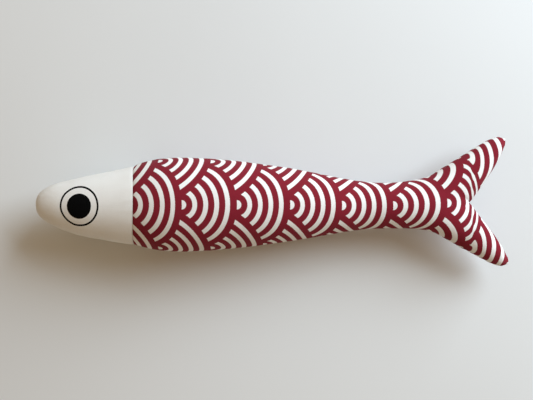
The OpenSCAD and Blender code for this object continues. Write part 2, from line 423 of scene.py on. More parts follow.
def resample(values: np.ndarray, rows: np.ndarray, columns: np.ndarray) -> np.ndarray:
    """Samples a grid of vectors smoothly in both directions.

    Args:
        values: the grid, with rows, columns and components.
        rows: fractional rows.
        columns: fractional columns.

    Returns:
        The vectors at every row and column that was asked for.
    """

    def along_first(grid: np.ndarray, at: np.ndarray) -> np.ndarray:
        """Samples the first axis with a cubic through four rows.

        Args:
            grid: the values.
            at: fractional rows.

        Returns:
            The values there.
        """
        last = len(grid) - 1
        i = np.clip(np.floor(at).astype(int), 0, last - 1)
        t = (at - i).reshape(-1, *([1] * (grid.ndim - 1)))
        p0, p1 = grid[np.maximum(i - 1, 0)], grid[i]
        p2, p3 = grid[i + 1], grid[np.minimum(i + 2, last)]
        bend = 2 * p0 - 5 * p1 + 4 * p2 - p3 + (3 * (p1 - p2) + p3 - p0) * t
        return p1 + 0.5 * t * (p2 - p0 + t * bend)

    return along_first(along_first(values, rows).swapaxes(0, 1), columns).swapaxes(0, 1)


@dataclass
class StuffedCloth:
    """Simulates the closed skin as cloth under the filling's pressure, and keeps how far it moves."""

    form: FishForm
    lay: Lay
    pressure: float = 5.0
    slack: float = 0.035
    frames: int = 20
    most: float = 2.2
    grid: Grid = field(init=False)
    moves: Quarters = field(init=False)

    def __post_init__(self) -> None:
        """Samples the skin coarsely enough to simulate."""
        self.grid = Grid.graded(self.form, step=2.7, nose_steps=9, columns=16, crowding=0)
        self.moves = {}

    def simulate(self) -> None:
        rows, columns = len(self.grid.stations), len(self.grid.shares)
        along, share = self.grid.mesh()
        points, quads, held = [], [], []
        for n, (side, face) in enumerate(QUARTERS):
            section = self.form.section(along, share, side, face)
            points.append(self.lay.place(section, self.form.wrist_at).reshape(-1, 3))
            quads.append(quads_of(rows, columns, n * rows * columns, faces_outwards(side, face)))
            on_seam = (share == 0) | ((share == 1) & (along >= self.form.fork_at))
            held.append((on_seam | (np.abs(along - self.form.neck_at) < 0.01)).ravel())
        start, faces, index = weld(np.concatenate(points), np.concatenate(quads))
        pinned = np.zeros(len(start), bool)
        pinned[index] |= np.concatenate(held)
        end = self._settle(start, faces, pinned)
        moves = end - start
        far = np.linalg.norm(moves, axis=1, keepdims=True)
        limit = self.most * MM
        moves = moves * np.where(far > 0, limit * np.tanh(far / limit) / np.maximum(far, 1e-9), 0)
        for n, key in enumerate(QUARTERS):
            part = index[n * rows * columns:(n + 1) * rows * columns]
            self.moves[key] = moves[part].reshape(rows, columns, 3)
        log.info("cloth settled: %d points moved up to %.2f mm", len(start), far.max() / MM)

    def _settle(self, start: np.ndarray, faces: Sequence[Sequence[int]], pinned: np.ndarray) -> np.ndarray:
        """Fills the cloth out between its seams.

        Args:
            start: the points before.
            faces: the indices of each face.
            pinned: which points the seams hold.

        Returns:
            The points after.
        """
        obj = mesh_object("cloth_trial", start, faces)
        seams = obj.vertex_groups.new(name="seams")
        seams.add([int(i) for i in np.flatnonzero(pinned)], 1.0, "REPLACE")
        loose = obj.vertex_groups.new(name="loose")
        loose.add([int(i) for i in np.flatnonzero(~pinned)], 1.0, "REPLACE")
        cloth = obj.modifiers.new("cloth", "CLOTH")
        settings = cloth.settings
        settings.quality = 6
        settings.mass = 0.2
        settings.tension_stiffness = 25
        settings.compression_stiffness = 25
        settings.shear_stiffness = 8
        settings.bending_stiffness = 0.05
        settings.use_pressure = True
        settings.uniform_pressure_force = self.pressure
        settings.vertex_group_mass = seams.name
        settings.vertex_group_shrink = loose.name
        settings.shrink_min = 0
        settings.shrink_max = -self.slack
        settings.effector_weights.gravity = 0
        cloth.collision_settings.use_collision = False
        cloth.point_cache.frame_start = 1
        cloth.point_cache.frame_end = self.frames
        scene = bpy.context.scene
        for number in range(1, self.frames + 1):
            scene.frame_set(number)
        mesh = obj.evaluated_get(bpy.context.evaluated_depsgraph_get()).to_mesh()
        end = np.zeros(len(start) * 3)
        mesh.vertices.foreach_get("co", end)
        scene.frame_set(1)
        bpy.data.objects.remove(obj)
        return end.reshape(-1, 3)

    def moves_on(self, grid: Grid, key: tuple[Side, Face]) -> np.ndarray:
        """Spreads the movement over a finer grid.

        Args:
            grid: the finer grid.
            key: the quarter.

        Returns:
            How far each of its points moves, in metres.
        """
        rows = np.interp(grid.stations, self.grid.stations, np.arange(len(self.grid.stations)))
        columns = np.interp(grid.shares, self.grid.shares, np.arange(len(self.grid.shares)))
        return resample(self.moves[key], rows, columns)


@dataclass(frozen=True)
class Sinking:
    """How a seam draws the cloth in: a sharp groove in a wide soft roll, in millimetres."""

    groove_depth: float
    roll_depth: float
    roll_width: float
    groove_width: float = 0.6

    def at(self, distance: np.ndarray) -> tuple[np.ndarray, np.ndarray]:
        """Returns the depths of the groove and of the roll at distances from the seam."""
        groove = self.groove_depth * np.exp(-distance / self.groove_width)
        return groove, self.roll_depth * np.exp(-(distance / self.roll_width) ** 2)


@dataclass(frozen=True)
class Gathers:
    """The small gathers that the seams pull into the cloth, in millimetres."""

    height: float = 0.44
    fine: float = 3.4
    broad: float = 7.5
    broad_part: float = 0.6
    reach: float = 4
    notch_reach: float = 3
    neck_reach: float = 5
    neck_part: float = 0.7
    neck_waves: float = 14


@dataclass(frozen=True)
class Lumps:
    """The soft lumps of the filling under the cloth, in millimetres."""

    height: float = 0.45
    length: float = 26
    width: float = 22
    clear_of_seam: float = 10


@dataclass(frozen=True)
class Folds:
    """The folds that fan out from the crotch of the tail; each has its part, angle and spread."""

    depth: float = 1.1
    reach: float = 9
    begins: float = 2.5
    waves: tuple[tuple[float, float, float], ...] = ((1, 0.55, 0.2), (0.6, 1.25, 0.22))


@dataclass
class SewnSkin:
    """The finished outer surface: the filled cloth with its seams, puckers and folds."""

    form: FishForm
    lay: Lay
    cloth: StuffedCloth
    swell: Line = Line((
        (0, -0.9), (8, -0.7), (20, -0.2), (60, 0), (72, 0.15), (84, 0.55), (120, 0.5), (250, 0.6),
        (290, 0.4), (320, 0), (350, 0),
    ))
    long_seam: Sinking = Sinking(groove_depth=0.7, roll_depth=0.2, roll_width=3.0)
    neck_seam: Sinking = Sinking(groove_depth=0.5, roll_depth=0.25, roll_width=2.6)
    full_quarter: float = 14
    gathers: Gathers = Gathers()
    lumps: Lumps = Lumps()
    folds: Folds = Folds()
    grid: Grid = field(init=False)
    points: Quarters = field(init=False)
    outward: Quarters = field(init=False)
    prints: Quarters = field(init=False)

    def __post_init__(self) -> None:
        """Samples the skin finely, with points crowded at the seams."""
        self.grid = Grid.graded(self.form, step=1.4, nose_steps=30, columns=44, crowding=0.8)
        self.points, self.outward, self.prints = {}, {}, {}

    def shape(self) -> None:
        """Works out every point of the skin."""
        along, share = self.grid.mesh()
        flat = {}
        for key in QUARTERS:
            section = self.form.section(along, share, *key)
            flat[key] = self.lay.place(section, self.form.wrist_at) + self.cloth.moves_on(self.grid, key)
            self.prints[key] = self.form.cloth(along, share, key[0])
        self._find_normals(flat)
        for key in QUARTERS:
            sunk = self._sunk(key, flat[key], along)
            points = flat[key] - self.outward[key] * (sunk * MM)[..., None]
            self.points[key] = self._rested(points)
        log.info("skin shaped: %d points", 4 * along.size)

    def _find_normals(self, flat: Quarters) -> None:
        """Works out the outward directions from the closed surface.

        Args:
            flat: the filled surface before its seams are sunk.
        """
        rows, columns = len(self.grid.stations), len(self.grid.shares)
        quads = [quads_of(rows, columns, n * rows * columns, faces_outwards(*key))
                 for n, key in enumerate(QUARTERS)]
        stacked = np.concatenate([flat[key].reshape(-1, 3) for key in QUARTERS])
        points, faces, index = weld(stacked, np.concatenate(quads))
        trial = mesh_object("skin_trial", points, faces)
        normals = np.zeros(len(trial.data.vertices) * 3)
        trial.data.vertex_normals.foreach_get("vector", normals)
        bpy.data.objects.remove(trial)
        normals = normals.reshape(-1, 3)[index]
        for n, key in enumerate(QUARTERS):
            part = normals[n * rows * columns:(n + 1) * rows * columns]
            self.outward[key] = part.reshape(rows, columns, 3)

    def _sunk(self, key: tuple[Side, Face], points: np.ndarray, along: np.ndarray) -> np.ndarray:
        """Works out how deep each point of a quarter lies under the filled surface.

        Args:
            key: the quarter.
            points: its points before.
            along: their distances behind the nose.

        Returns:
            The depths in millimetres.
        """
        out_of_reach, least = 1e3, 0.1
        steps = np.linalg.norm(np.diff(points, axis=1), axis=2) / MM
        from_outer = np.concatenate([np.zeros((len(points), 1)), np.cumsum(steps, axis=1)], axis=1)
        to_inner = from_outer[:, -1:] - from_outer
        to_notch = np.where(along >= self.form.fork_at, to_inner, out_of_reach)
        slim = np.clip(from_outer[:, -1:] / self.full_quarter, least, 1)
        groove, roll = self.long_seam.at(np.minimum(from_outer, to_notch))
        to_neck = np.abs(along - self.form.neck_at)
        neck_groove, neck_roll = self.neck_seam.at(to_neck)
        sunk = slim * groove + slim * roll + neck_groove + neck_roll
        fine = self._puckers(key, along, from_outer, to_notch, to_neck) * slim
        return sunk + fine + self._folds(key, points) - self.swell.at(along)

    def _puckers(self, key: tuple[Side, Face], along: np.ndarray, from_outer: np.ndarray,
                 to_notch: np.ndarray, to_neck: np.ndarray) -> np.ndarray:
        """Works out the gathers beside the seams and the lumps of the filling.

        Args:
            key: the quarter.
            along: distances behind the nose.
            from_outer: distances from the outer seam.
            to_notch: distances from the notch's seam.
            to_neck: distances from the neck seam.

        Returns:
            The depths in millimetres.
        """
        side, face = key
        seed, lump_seed = 40 * face.value + 90 * side.value, 10 * face.value
        fine_row, neck_row, broad_row = 0.5, 3.5, 7.5
        gathers, lumps = self.gathers, self.lumps

        def wave(values: np.ndarray, row: float) -> np.ndarray:
            """Samples one row of the noise."""
            return np.array([noise.noise(Vector((v, row, seed))) for v in values])

        stations, shares = self.grid.stations, self.grid.shares
        waves = wave(stations / gathers.fine, fine_row)
        waves = waves + gathers.broad_part * wave(stations / gathers.broad, broad_row)
        near = np.exp(-from_outer / gathers.reach) + np.exp(-to_notch / gathers.notch_reach)
        beside = waves[:, None] * near
        round_neck = wave(shares * gathers.neck_waves, neck_row) * np.exp(-to_neck / gathers.neck_reach)
        lumpy = np.array([
            noise.noise(Vector((u / lumps.length, v / lumps.width, lump_seed)))
            for u, v in zip(along.ravel(), self.prints[key][..., 1].ravel())
        ]).reshape(along.shape)
        lumpy = lumps.height * lumpy * np.clip(from_outer / lumps.clear_of_seam, 0, 1)
        return gathers.height * (beside + gathers.neck_part * round_neck) + lumpy

    def _folds(self, key: tuple[Side, Face], points: np.ndarray) -> np.ndarray:
        """Works out the folds that fan out from the crotch of the tail.

        Args:
            key: the quarter.
            points: its points.

        Returns:
            The depths in millimetres.
        """
        crotch = self.lay.place(self.form.section(
            np.array([self.form.fork_at]), np.array([1.0]), *key), self.form.wrist_at)[0]
        reach = (points - crotch) / MM
        distance = np.hypot(reach[..., 0], reach[..., 1])
        angle = np.arctan2(np.abs(reach[..., 1]), -reach[..., 0])
        folds = self.folds
        fan = np.exp(-distance / folds.reach) * (1 - np.exp(-distance / folds.begins))
        waves = [part * np.exp(-((angle - middle) / spread) ** 2) for part, middle, spread in folds.waves]
        return folds.depth * fan * sum(waves)

    @staticmethod
    def _rested(points: np.ndarray) -> np.ndarray:
        """Presses the underside flat on the table, with a soft edge round the patch.

        Args:
            points: places in metres.

        Returns:
            The places, none of them below the table.
        """
        soft, clear, far = 0.35 * MM, 0.02 * MM, 20
        low = points[..., 2] / soft
        pressed = clear + soft * np.log1p(np.exp(np.minimum(low, far)))
        rested = points.copy()
        rested[..., 2] = np.where(low > far, points[..., 2], pressed)
        return rested

    def at(self, along: np.ndarray, across: np.ndarray,
           face: Face) -> tuple[np.ndarray, np.ndarray, np.ndarray]:
        """Finds points of the head or body.

        Args:
            along: distances behind the nose.
            across: distances towards the back.
            face: the flank.

        Returns:
            The points, the outward directions and the places on the flat cloth.
        """
        radius = self.form.radius(along)
        share = np.arccos(np.clip(np.abs(across) / radius, 0, 1)) / (np.pi / 2)
        row = np.interp(along, self.grid.stations, np.arange(len(self.grid.stations)))
        column = np.interp(share, self.grid.shares, np.arange(len(self.grid.shares)))
        i = np.clip(row.astype(int), 0, len(self.grid.stations) - 2)
        j = np.clip(column.astype(int), 0, len(self.grid.shares) - 2)
        s, t = (row - i)[..., None], (column - j)[..., None]

        def blend(table: Quarters) -> np.ndarray:
            """Samples a table between its four nearest points.

            Args:
                table: a value for each point of each quarter.

            Returns:
                The values, each from the side that its point is on.
            """
            found = []
            for side in Side:
                g = table[(side, face)]
                top = g[i, j] * (1 - t) + g[i, j + 1] * t
                found.append(top * (1 - s) + (g[i + 1, j] * (1 - t) + g[i + 1, j + 1] * t) * s)
            return np.where((across >= 0)[..., None], found[0], found[1])

        return blend(self.points), blend(self.outward), blend(self.prints)


@dataclass
class ClothPanel:
    """One cut panel of cloth with its edges turned inside and its thickness."""

    name: str
    skin: SewnSkin
    face: Face
    first: float
    last: float
    thickness: float = 0.5
    allowance: float = 3.2
    least_allowance: float = 0.5
    trim: float = 5
    lean: float = 0.35
    gap: float = 0.06

    def build(self, material: bpy.types.Material) -> bpy.types.Object:
        """Makes the panel's mesh.

        Args:
            material: the cloth's finish.

        Returns:
            The panel, in place, with its print map.
        """
        skin, stations = self.skin, self.skin.grid.stations
        slop = 1e-6
        rows = np.flatnonzero((stations >= self.first - slop) & (stations <= self.last + slop))
        points, outward, prints, quads, seams = [], [], [], [], []
        for side in Side:
            key = (side, self.face)
            columns = len(skin.grid.shares)
            first = len(points) * len(rows) * columns
            quads.append(quads_of(len(rows), columns, first, faces_outwards(*key)))
            points.append(skin.points[key][rows].reshape(-1, 3))
            outward.append(skin.outward[key][rows].reshape(-1, 3))
            prints.append(skin.prints[key][rows].reshape(-1, 2))
            along, share = np.meshgrid(stations[rows], skin.grid.shares, indexing="ij")
            seams.append(((share == 0) | ((share == 1) & (along >= skin.form.fork_at))
                          | (along == 0) | (along == skin.form.length)).ravel())
        stacked = np.concatenate(points)
        welded, faces, index = weld(stacked, np.concatenate(quads))
        normal = np.zeros_like(welded)
        normal[index] = np.concatenate(outward)
        print_place = np.zeros((len(welded), 2))
        print_place[index] = np.concatenate(prints)
        on_seam = np.zeros(len(welded), bool)
        on_seam[index] |= np.concatenate(seams)
        welded, faces, print_place = self._turned_in(welded, faces, normal, print_place, on_seam)
        obj = mesh_object(self.name, welded, faces)
        self._write_print(obj.data, print_place)
        obj.data.materials.append(material)
        wall = obj.modifiers.new("cloth", "SOLIDIFY")
        wall.thickness = self.thickness * MM
        wall.offset = -1
        bake_modifiers(obj)
        log.info("%s: %d faces", self.name, len(obj.data.polygons))
        return obj

    def _turned_in(
        self, points: np.ndarray, faces: list[list[int]], normal: np.ndarray,
        print_place: np.ndarray, on_seam: np.ndarray,
    ) -> tuple[np.ndarray, list[list[int]], np.ndarray]:
        """Adds the seam allowance: a strip that runs inwards from every edge of the panel.

        Args:
            points: the panel's points.
            faces: the indices of each face.
            normal: the points' outward directions.
            print_place: the points' places on the flat cloth.
            on_seam: which points lie on the long seam.

        Returns:
            The points, faces and places on the flat cloth with those of the strip added.
        """
        out = np.array(self.skin.lay.direction(0, 0, self.face.value))
        neck_way = 1 if self.first == self.skin.form.neck_at else -1
        along = np.array(self.skin.lay.direction(neck_way, 0, 0))
        ways: dict[tuple[int, int], int] = {}
        for loop in faces:
            for k, end in enumerate(loop):
                ways[(loop[k - 1], end)] = ways.get((loop[k - 1], end), 0) + 1
        edges = [edge for edge in ways if (edge[1], edge[0]) not in ways]
        rim = sorted({v for edge in edges for v in edge})
        away = np.where(on_seam[rim][:, None], out, along)
        turned = points.copy()
        turned[rim] += away * self.gap * MM
        number = {v: len(points) + n for n, v in enumerate(rim)}
        inside = turned[rim] - normal[rim] * self._reach(points[rim])[:, None] + away * self.lean * MM
        strips = [[a, number[a], number[b], b] for a, b in edges]
        return (np.concatenate([turned, inside]), faces + strips,
                np.concatenate([print_place, print_place[rim]]))

    def _reach(self, rim: np.ndarray) -> np.ndarray:
        """Works out how far the allowance runs in; it is trimmed towards the tips.

        Args:
            rim: the points of the panel's edge.

        Returns:
            A reach for each point, in metres.
        """
        hinge, form = self.skin.lay.hinge, self.skin.form
        station = (rim[:, 0] - hinge.x) / MM + form.wrist_at
        lobe = form.outer.at(station) - form.inner.at(station)
        trimmed = np.clip(lobe / self.trim, self.least_allowance, self.allowance)
        return np.where(station > form.fork_at, trimmed, self.allowance) * MM

    @staticmethod
    def _write_print(mesh: bpy.types.Mesh, print_place: np.ndarray) -> None:
        """Stores each corner's place on the flat cloth as the print map, in metres.

        Args:
            mesh: the panel's mesh.
            print_place: each point's place, in millimetres.
        """
        layer = mesh.uv_layers.new(name="cloth")
        corners = np.zeros(len(mesh.loops), np.int32)
        mesh.loops.foreach_get("vertex_index", corners)
        layer.data.foreach_set("uv", (print_place[corners] * MM).astype(np.float32).ravel())


@dataclass
class EyePrint:
    """The printed eye of one flank: a thin ring round a solid pupil."""

    skin: SewnSkin
    face: Face
    centre: float = 36.2
    above: float = 0.4
    ring_radius: float = 14.4
    ring_line: float = 1.3
    pupil_radius: float = 8.95
    lift: float = 0.05
    film: float = 0.03
    ragged: float = 0.1
    ragged_waves: float = 6
    sides: int = 120

    def ring(self, name: str, material: bpy.types.Material) -> bpy.types.Object:
        """Returns the ring."""
        return self._disc(name, (self.ring_radius - self.ring_line, self.ring_radius), 4, material)

    def pupil(self, name: str, material: bpy.types.Material) -> bpy.types.Object:
        """Returns the pupil."""
        return self._disc(name, (0, self.pupil_radius), 14, material)

    def _disc(self, name: str, reaches: tuple[float, float], rings: int,
              material: bpy.types.Material) -> bpy.types.Object:
        """Makes a round film of ink that follows the cloth.

        Args:
            name: the film's name.
            reaches: its inner and outer radius.
            rings: the rings of faces between them.
            material: the ink's finish.

        Returns:
            The film, in place, with its print map.
        """
        inner, outer = reaches
        angle = np.linspace(0, 2 * np.pi, self.sides, endpoint=False)
        circle = self.ragged_waves * np.stack([np.cos(angle), np.sin(angle)], axis=-1)
        bleed = np.array([noise.noise(Vector((*place, outer))) for place in circle])
        share = np.linspace(0, 1, rings + 1)
        rough = self.ragged * bleed[None, :] * (1 if inner else share[:, None])
        reach = inner + (outer - inner) * share[:, None] + rough
        along = self.centre + reach * np.cos(angle)
        across = self.above + reach * np.sin(angle) * self.face.value
        points, outward, prints = self.skin.at(along, across, self.face)
        points = points + outward * self.lift * MM
        index = np.arange(angle.size * share.size).reshape(share.size, angle.size)
        following = np.roll(index, -1, axis=1)
        quads = np.stack([index[:-1], index[1:], following[1:], following[:-1]], axis=-1).reshape(-1, 4)
        welded, faces, new = weld(points.reshape(-1, 3), quads)
        print_place = np.zeros((len(welded), 2))
        print_place[new] = prints.reshape(-1, 2)
        obj = mesh_object(name, welded, faces)
        ClothPanel._write_print(obj.data, print_place)
        obj.data.materials.append(material)
        film = obj.modifiers.new("film", "SOLIDIFY")
        film.thickness = self.film * MM
        film.offset = -1
        bake_modifiers(obj)
        log.info("%s: %d faces", name, len(obj.data.polygons))
        return obj


@dataclass
class FibreFilling:
    """The polyester fibre: one soft core under the skin, from the nose to the tips."""

    form: FishForm
    lay: Lay
    inset: float = 1.6
    tuft_height: float = 0.25
    tufts_per_metre: float = 160

    def build(self, material: bpy.types.Material) -> bpy.types.Object:
        """Makes the filling's mesh.

        Args:
            material: the fibre's finish.

        Returns:
            The filling, in place.
        """
        grid = Grid.graded(self.form, step=4, nose_steps=8, columns=12, crowding=0)
        along, share = grid.mesh()
        points, quads = [], []
        for n, key in enumerate(QUARTERS):
            section = self.lay.place(self.form.section(along, share, *key), self.form.wrist_at)
            points.append(section.reshape(-1, 3))
            quads.append(quads_of(*along.shape, n * along.size, faces_outwards(*key)))
        welded, faces, _ = weld(np.concatenate(points), np.concatenate(quads))
        obj = mesh_object("fibre_filling", welded, faces)
        normals = np.zeros(len(welded) * 3)
        obj.data.vertex_normals.foreach_get("vector", normals)
        tufts = np.array([noise.noise(Vector(p) * self.tufts_per_metre) for p in welded])
        room = (self.inset + self.tuft_height * tufts) * MM
        inside = welded - normals.reshape(-1, 3) * room[:, None]
        inside[:, 2] = np.maximum(inside[:, 2], self.inset * MM)
        obj.data.vertices.foreach_set("co", inside.ravel())
        obj.data.update()
        obj.data.materials.append(material)
        log.info("fibre_filling: %d faces", len(obj.data.polygons))
        return obj


@dataclass(frozen=True)
class StitchSize:
    """The sizes of one kind of stitch, in millimetres."""

    pitch: float
    length: float
    thread_radius: float
    rise: float


MACHINE_STITCH = StitchSize(pitch=2.2, length=1.3, thread_radius=0.11, rise=0.08)
LADDER_STITCH = StitchSize(pitch=4, length=3.2, thread_radius=0.2, rise=0.35)


@dataclass
class StitchRow:
    """A row of stitches that lie across the seam they follow, made by geometry nodes."""

    name: str
    size: StitchSize

    def build(self, paths: Sequence[tuple[np.ndarray, np.ndarray]],
              material: bpy.types.Material) -> bpy.types.Object:
        """Makes the row.

        Args:
            paths: for each stretch of seam its points and outward directions.
            material: the thread's finish.

        Returns:
            The stitches as one plain mesh.
        """
        points = np.concatenate([p for p, _ in paths])
        outward = np.concatenate([o for _, o in paths])
        mesh = bpy.data.meshes.new(self.name)
        edges, first = [], 0
        for path, _ in paths:
            edges += [(first + k, first + k + 1) for k in range(len(path) - 1)]
            first += len(path)
        mesh.from_pydata([tuple(p) for p in points.tolist()], edges, [])
        up = mesh.attributes.new("outward", "FLOAT_VECTOR", "POINT")
        up.data.foreach_set("vector", outward.astype(np.float32).ravel())
        obj = bpy.data.objects.new(self.name, mesh)
        bpy.context.scene.collection.objects.link(obj)
        tree = self._tree()
        nodes = obj.modifiers.new("stitches", "NODES")
        nodes.node_group = tree
        values = {
            "Pitch": self.size.pitch * MM, "Stitch Length": self.size.length * MM,
            "Thread Radius": self.size.thread_radius * MM, "Rise": self.size.rise * MM, "Thread": material,
        }
        for item in tree.interface.items_tree:
            if item.name in values:
                nodes[item.identifier] = values[item.name]
        bake_modifiers(obj)
        obj.data.shade_smooth()
        log.info("%s: %d faces", self.name, len(obj.data.polygons))
        return obj

    def _tree(self) -> bpy.types.NodeTree:
        """Builds the tree: stitches at even steps along the path, turned across it.

        Returns:
            The node tree, which ends in real meshes with the thread's material.
        """
        tree = bpy.data.node_groups.new(self.name, "GeometryNodeTree")
        sizes = ("Pitch", "Stitch Length", "Thread Radius", "Rise")
        sockets = [("Path", "NodeSocketGeometry"), *((size, "NodeSocketFloat") for size in sizes),
                   ("Thread", "NodeSocketMaterial")]
        for name, kind in sockets:
            tree.interface.new_socket(name, in_out="INPUT", socket_type=kind)
        tree.interface.new_socket("Stitches", in_out="OUTPUT", socket_type="NodeSocketGeometry")

        def node(kind: str, settings: dict[str, Any] | None = None, **inputs: Any) -> bpy.types.NodeOutputs:
            """Adds a node.

            Args:
                kind: the node's type.
                settings: its properties.
                inputs: values or links of its sockets, by name, or by _ and the socket's number.

            Returns:
                Its outputs.
            """
            made = tree.nodes.new(kind)
            for key, value in (settings or {}).items():
                setattr(made, key, value)
            for key, value in inputs.items():
                socket = made.inputs[int(key[1:])] if key[0] == "_" else made.inputs[key.replace("_", " ")]
                if isinstance(value, bpy.types.NodeSocket):
                    tree.links.new(value, socket)
                else:
                    socket.default_value = value
            return made.outputs

        def times(value: bpy.types.NodeSocket, factor: float) -> bpy.types.NodeSocket:
            """Multiplies a number."""
            return node("ShaderNodeMath", {"operation": "MULTIPLY"}, _0=value, _1=factor)[0]

        given = node("NodeGroupInput")
        curve = node("GeometryNodeMeshToCurve", Mesh=given["Path"])[0]
        steps = node("GeometryNodeResampleCurve", {"mode": "LENGTH"}, Curve=curve, Length=given["Pitch"])[0]
        tangent = node("GeometryNodeInputTangent")[0]
        outward = node("GeometryNodeInputNamedAttribute", {"data_type": "FLOAT_VECTOR"}, Name="outward")[0]
        sideways = node("ShaderNodeVectorMath", {"operation": "CROSS_PRODUCT"}, _0=tangent, _1=outward)[0]
        upright = node("FunctionNodeAlignRotationToVector", {"axis": "Z"}, Vector=outward)[0]
        turned = node("FunctionNodeAlignRotationToVector", {"axis": "X", "pivot_axis": "Z"},
                      Rotation=upright, Vector=sideways)[0]
        half, dip = times(given["Stitch Length"], 0.5), times(given["Rise"], -1.0)
        start = node("ShaderNodeCombineXYZ", X=times(half, -1.0), Z=dip)[0]
        crown = node("ShaderNodeCombineXYZ", Z=given["Rise"])[0]
        end = node("ShaderNodeCombineXYZ", X=half, Z=dip)[0]
        arc = node("GeometryNodeCurveQuadraticBezier", Resolution=5, Start=start, Middle=crown, End=end)[0]
        ring = node("GeometryNodeCurvePrimitiveCircle", Resolution=6, Radius=given["Thread Radius"])[0]
        stitch = node("GeometryNodeCurveToMesh", Curve=arc, Profile_Curve=ring, Fill_Caps=True)[0]
        row = node("GeometryNodeInstanceOnPoints", Points=steps, Instance=stitch, Rotation=turned)[0]
        real = node("GeometryNodeRealizeInstances", Geometry=row)[0]
        dressed = node("GeometryNodeSetMaterial", Geometry=real, Material=given["Thread"])[0]
        node("NodeGroupOutput", Stitches=dressed)
        return tree


@dataclass
class Seams:
    """The stitches that hold the fish together."""

    skin: SewnSkin
    closing_at: float = 150
    closing_length: float = 60
    sink: float = 0.35
    notch_sink: float = 0.3
    closing_rise: float = 0.2
    from_nose: float = 1
    from_tip: float = 3

    def path(self, key: tuple[Side, Face], first: float, last: float, column: int,
             sink: float) -> tuple[np.ndarray, np.ndarray]:
        """Finds a stretch of a long seam.

        Args:
            key: the quarter it bounds.
            first: where it begins, behind the nose.
            last: where it ends.
            column: 0 for the outer seam, -1 for the notch's.
            sink: how deep the thread lies under the surface.

        Returns:
            Its points and their outward directions.
        """
        stations = self.skin.grid.stations
        rows = np.flatnonzero((stations >= first) & (stations <= last))
        outward = self.skin.outward[key][rows, column]
        return self.skin.points[key][rows, column] - outward * sink * MM, outward

    def long_seam(self, material: bpy.types.Material) -> bpy.types.Object:
        """Makes the machine stitches of the seam round the whole fish, without the closing.

        Args:
            material: the thread's finish.

        Returns:
            The stitches.
        """
        back, belly = (Side.BACK, Face.LEFT), (Side.BELLY, Face.LEFT)
        tip = self.skin.form.length - self.from_tip
        crotch = self.skin.form.fork_at + self.from_tip
        paths = [
            self.path(back, self.from_nose, tip, 0, self.sink),
            self.path(belly, self.from_nose, self.closing_at, 0, self.sink),
            self.path(belly, self.closing_at + self.closing_length, tip, 0, self.sink),
            self.path(back, crotch, tip, -1, self.notch_sink),
            self.path(belly, crotch, tip, -1, self.notch_sink),
        ]
        return StitchRow("long_seam_stitches", MACHINE_STITCH).build(paths, material)

    def neck_seam(self, face: Face, material: bpy.types.Material) -> bpy.types.Object:
        """Makes the machine stitches of one flank's neck seam.

        Args:
            face: the flank.
            material: the thread's finish.

        Returns:
            The stitches.
        """
        skin, clear_columns = self.skin, 3
        neck = int(np.argmin(np.abs(skin.grid.stations - skin.form.neck_at)))
        paths = []
        for side in Side:
            points = skin.points[(side, face)][neck, clear_columns:]
            outward = skin.outward[(side, face)][neck, clear_columns:]
            paths.append((points - outward * self.sink * MM, outward))
        return StitchRow(f"neck_seam_stitches_{face.name.lower()}", MACHINE_STITCH).build(paths, material)

    def closing(self, material: bpy.types.Material) -> bpy.types.Object:
        """Makes the hand-sewn ladder stitches that close the turning gap on the belly.

        Args:
            material: the thread's finish.

        Returns:
            The stitches.
        """
        end = self.closing_at + self.closing_length
        path = self.path((Side.BELLY, Face.LEFT), self.closing_at, end, 0, -self.closing_rise)
        return StitchRow("closing_stitches", LADDER_STITCH).build([path], material)


class Shade:
    """A shader socket that sums are written with."""

    def __init__(self, graph: "Graph", socket: bpy.types.NodeSocket) -> None:
        """Wraps a node's output."""
        self.graph = graph
        self.socket = socket

    def _maths(self, operation: str, *others: "Shade | float",
               first: "Shade | float | None" = None) -> "Shade":
        """Adds a Math node.

        Args:
            operation: what it works out.
            others: its inputs after the first.
            first: its first input, where that isn't this socket.

        Returns:
            The result.
        """
        values = [self if first is None else first, *others]
        return self.graph.node("ShaderNodeMath", {"operation": operation}, dict(enumerate(values)))

    def __add__(self, other: "Shade | float") -> "Shade":
        """Adds."""
        return self._maths("ADD", other)

    __radd__ = __add__

    def __sub__(self, other: "Shade | float") -> "Shade":
        """Takes away."""
        return self._maths("SUBTRACT", other)

    def __rsub__(self, other: "Shade | float") -> "Shade":
        """Takes this away from a number."""
        return self._maths("SUBTRACT", self, first=other)

    def __mul__(self, other: "Shade | float") -> "Shade":
        """Multiplies."""
        return self._maths("MULTIPLY", other)

    __rmul__ = __mul__

    def __truediv__(self, other: "Shade | float") -> "Shade":
        """Divides."""
        return self._maths("DIVIDE", other)

    def __lt__(self, other: "Shade | float") -> "Shade":
        """Gives 1 where this is smaller."""
        return self._maths("LESS_THAN", other)

    def __gt__(self, other: "Shade | float") -> "Shade":
        """Gives 1 where this is larger."""
        return self._maths("GREATER_THAN", other)

    def __abs__(self) -> "Shade":
        """Drops the sign."""
        return self._maths("ABSOLUTE")

    def floor(self) -> "Shade":
        """Rounds down."""
        return self._maths("FLOOR")

    def ceil(self) -> "Shade":
        """Rounds up."""
        return self._maths("CEIL")

    def root(self) -> "Shade":
        """Square root."""
        return self._maths("SQRT")

    def sine(self) -> "Shade":
        """Sine of an angle in radians."""
        return self._maths("SINE")

    def least(self, other: "Shade | float") -> "Shade":
        """The smaller of two."""
        return self._maths("MINIMUM", other)

    def most(self, other: "Shade | float") -> "Shade":
        """The larger of two."""
        return self._maths("MAXIMUM", other)

    def between(self, low: float, high: float) -> "Shade":
        """Rises smoothly from 0 at low to 1 at high."""
        return self.graph.node("ShaderNodeMapRange", {"interpolation_type": "SMOOTHSTEP"},
                               {"Value": self, "From Min": low, "From Max": high})


